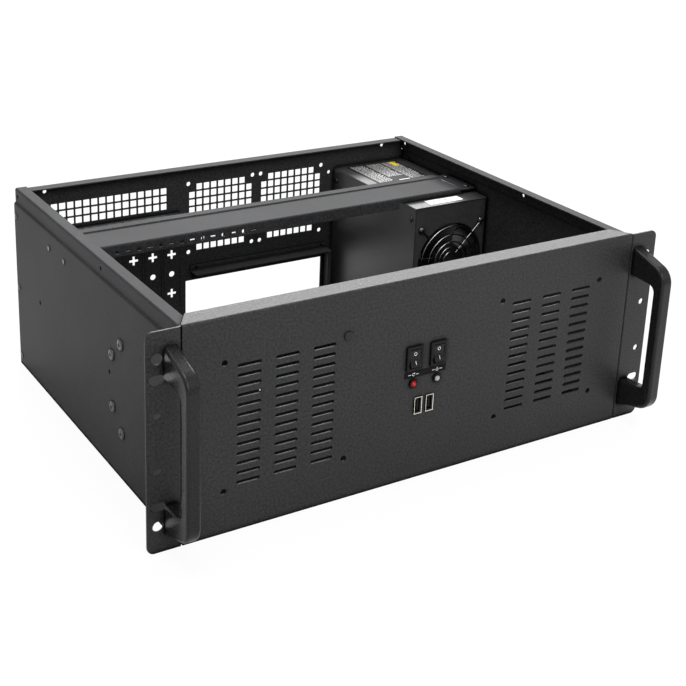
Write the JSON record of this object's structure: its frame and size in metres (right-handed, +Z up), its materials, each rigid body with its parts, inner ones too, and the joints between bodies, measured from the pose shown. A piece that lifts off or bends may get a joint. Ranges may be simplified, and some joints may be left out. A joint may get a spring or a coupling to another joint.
{
  "type": "rackmount server case",
  "caption": "Rackmount server case with its cover off: vented front panel, rocker switches, bow handles on rack ears, and a power supply with a guarded fan.",
  "frame": {"origin": "middle of the front panel's lower edge, in the plane of its front face and of the underside", "axes": "+X to the case's right seen from the front, +Y from the front face towards the rear panel, +Z up"},
  "size_m": [0.4826, 0.3912, 0.177],
  "materials": {
    "case_paint": "fine-textured black powder coat",
    "panel_paint": "fine-textured black powder coat",
    "handle_paint": "satin black",
    "zinc": "zinc plated",
    "plug_plastic": "matt",
    "black_screw": "black zinc",
    "brass_post": "plain",
    "psu_paint": "satin black",
    "fan_plastic": "matt",
    "guard_wire": "bright nickel",
    "switch_plastic": "satin",
    "rocker_plastic": "satin",
    "grey_label": "satin",
    "white_label": "satin",
    "tinned_brass": "tinned",
    "black_label": "matt",
    "red_lens": "clear red",
    "clear_lens": "water clear",
    "usb_steel": "bright plated",
    "socket_plastic": "matt",
    "board_green": "coated"
  },
  "bodies": {
    "case": {"bar_bracket_left": "case_paint", "bar_bracket_right": "case_paint", "bar_rivets": "black_screw", "bar_screws": "black_screw", "chassis_tray": "case_paint", "crossbar": "case_paint", "ear_left": "panel_paint", "ear_right": "panel_paint", "fan_frame": "fan_plastic", "fan_guard": "guard_wire", "fan_screws": "zinc", "front_panel": "panel_paint", "handle_left": "handle_paint", "handle_right": "handle_paint", "handle_screws": "zinc", "inlet_pins": "zinc", "io_post": "case_paint", "io_shelf": "case_paint", "led_clear": "clear_lens", "led_holder_left": "switch_plastic", "led_holder_right": "switch_plastic", "led_red": "red_lens", "panel_plug": "plug_plastic", "power_inlet": "switch_plastic", "power_switch_housing": "switch_plastic", "psu_base": "psu_paint", "psu_cover": "psu_paint", "psu_cover_screws": "black_screw", "psu_label_front": "white_label", "psu_label_rear": "grey_label", "psu_mount_screws": "black_screw", "psu_switch_housing": "switch_plastic", "rear_panel": "case_paint", "rear_screws": "black_screw", "reset_switch_housing": "switch_plastic", "side_screws": "black_screw", "slot_shelf": "case_paint", "standoffs": "brass_post", "switch_label": "black_label", "switch_terminals": "tinned_brass", "usb_board": "board_green", "usb_posts": "zinc", "usb_shell_left": "usb_steel", "usb_shell_right": "usb_steel", "usb_tongue_left": "socket_plastic", "usb_tongue_right": "socket_plastic"},
    "reset_rocker": {"reset_rocker": "rocker_plastic"},
    "power_rocker": {"power_rocker": "rocker_plastic"},
    "psu_rocker": {"psu_rocker": "rocker_plastic"},
    "fan_rotor": {"fan_rotor": "fan_plastic"}
  },
  "joints": [
    {"name": "reset_tilt", "type": "hinge", "parent": "case", "child": "reset_rocker", "pos_m": [-0.0115, 0.0005, 0.1086], "axis": [1, 0, 0], "range_deg": [0, 20], "stiffness_Nm_per_rad": 0.02, "springref_deg": -5.73},
    {"name": "power_tilt", "type": "hinge", "parent": "case", "child": "power_rocker", "pos_m": [0.0115, 0.0005, 0.1086], "axis": [1, 0, 0], "range_deg": [0, 20]},
    {"name": "psu_tilt", "type": "hinge", "parent": "case", "child": "psu_rocker", "pos_m": [0.17, 0.3483, 0.0892], "axis": [-1, 0, 0], "range_deg": [0, 20]},
    {"name": "fan_spin", "type": "hinge", "parent": "case", "child": "fan_rotor", "pos_m": [0.1715, 0.21, 0.092], "axis": [0, 1, 0], "continuous": true}
  ]
}
